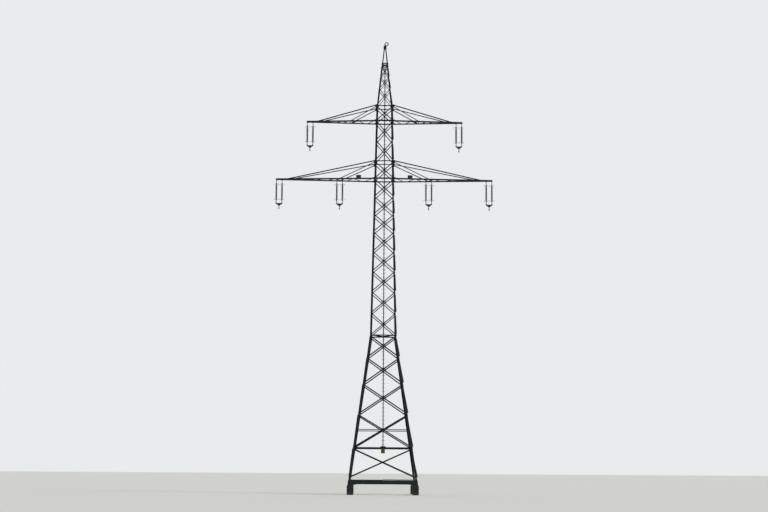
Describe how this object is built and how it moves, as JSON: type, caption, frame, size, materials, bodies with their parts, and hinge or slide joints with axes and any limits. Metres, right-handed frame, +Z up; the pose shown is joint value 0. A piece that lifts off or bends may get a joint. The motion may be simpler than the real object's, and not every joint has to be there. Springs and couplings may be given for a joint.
{
  "type": "lattice suspension pylon for a double-circuit overhead line",
  "caption": "Square steel lattice pylon with crossarms at two levels, stayed arms, double long-rod suspension sets and a swan-neck earth wire bracket.",
  "frame": {"origin": "on the ground, midway between the four footings", "axes": "+X along the crossarms, +Y along the line away from the ladder face, +Z up"},
  "size_m": [16.73, 5.213, 34.484],
  "materials": {
    "painted_steel": "semi-matt dark grey-green micaceous paint over galvanised angle steel",
    "bitumen_concrete": "concrete stub with a matt dark bitumen coat",
    "weathered_zinc": "bare galvanised steel, pale and weathered",
    "dark_zinc": "old hot-dip galvanised forgings and plates, dark grey",
    "brown_glaze": "brown glazed porcelain",
    "circuit_enamel": "dark enamelled sheet with a tan lower edge, bare of lettering",
    "sign_enamel": "olive yellow enamelled sheet, bare of lettering"
  },
  "bodies": {
    "tower": {"footings": "bitumen_concrete", "base_frame": "painted_steel", "beam_edge_strips": "weathered_zinc", "lower_leg_front_left": "painted_steel", "lower_leg_front_right": "painted_steel", "lower_leg_rear_left": "painted_steel", "lower_leg_rear_right": "painted_steel", "lower_bracing_front": "painted_steel", "lower_bracing_right": "painted_steel", "lower_bracing_rear": "painted_steel", "lower_bracing_left": "painted_steel", "waist_frame": "painted_steel", "shaft_leg_front_left": "painted_steel", "shaft_leg_front_right": "painted_steel", "shaft_leg_rear_left": "painted_steel", "shaft_leg_rear_right": "painted_steel", "shaft_bracing_front": "painted_steel", "shaft_bracing_right": "painted_steel", "shaft_bracing_rear": "painted_steel", "shaft_bracing_left": "painted_steel", "arm_girts": "painted_steel", "lower_arm_left": "painted_steel", "lower_arm_right": "painted_steel", "upper_arm_left": "painted_steel", "upper_arm_right": "painted_steel", "lower_stays_left": "painted_steel", "lower_stays_right": "painted_steel", "upper_stays_left": "painted_steel", "upper_stays_right": "painted_steel", "peak_legs": "painted_steel", "peak_bracing": "painted_steel", "earth_wire_bracket": "painted_steel", "ladder": "painted_steel", "circuit_plates": "circuit_enamel", "warning_sign": "sign_enamel"},
    "lower_left_set": {"insulators_lower_left": "brown_glaze", "fittings_lower_left": "dark_zinc"},
    "lower_right_set": {"insulators_lower_right": "brown_glaze", "fittings_lower_right": "dark_zinc"},
    "inner_left_set": {"insulators_inner_left": "brown_glaze", "fittings_inner_left": "dark_zinc"},
    "inner_right_set": {"insulators_inner_right": "brown_glaze", "fittings_inner_right": "dark_zinc"},
    "upper_left_set": {"insulators_upper_left": "brown_glaze", "fittings_upper_left": "dark_zinc"},
    "upper_right_set": {"insulators_upper_right": "brown_glaze", "fittings_upper_right": "dark_zinc"}
  },
  "joints": [
    {"name": "lower_left_swing", "type": "hinge", "parent": "tower", "child": "lower_left_set", "pos_m": [-7.98, 0, 23.55], "axis": [1, 0, 0], "range_deg": [-45, 45]},
    {"name": "lower_right_swing", "type": "hinge", "parent": "tower", "child": "lower_right_set", "pos_m": [7.98, 0, 23.55], "axis": [1, 0, 0], "range_deg": [-45, 45]},
    {"name": "inner_left_swing", "type": "hinge", "parent": "tower", "child": "inner_left_set", "pos_m": [-3.39, 0, 23.55], "axis": [1, 0, 0], "range_deg": [-45, 45]},
    {"name": "inner_right_swing", "type": "hinge", "parent": "tower", "child": "inner_right_set", "pos_m": [3.39, 0, 23.55], "axis": [1, 0, 0], "range_deg": [-45, 45]},
    {"name": "upper_left_swing", "type": "hinge", "parent": "tower", "child": "upper_left_set", "pos_m": [-5.69, 0, 28.05], "axis": [1, 0, 0], "range_deg": [-45, 45]},
    {"name": "upper_right_swing", "type": "hinge", "parent": "tower", "child": "upper_right_set", "pos_m": [5.69, 0, 28.05], "axis": [1, 0, 0], "range_deg": [-45, 45]}
  ]
}
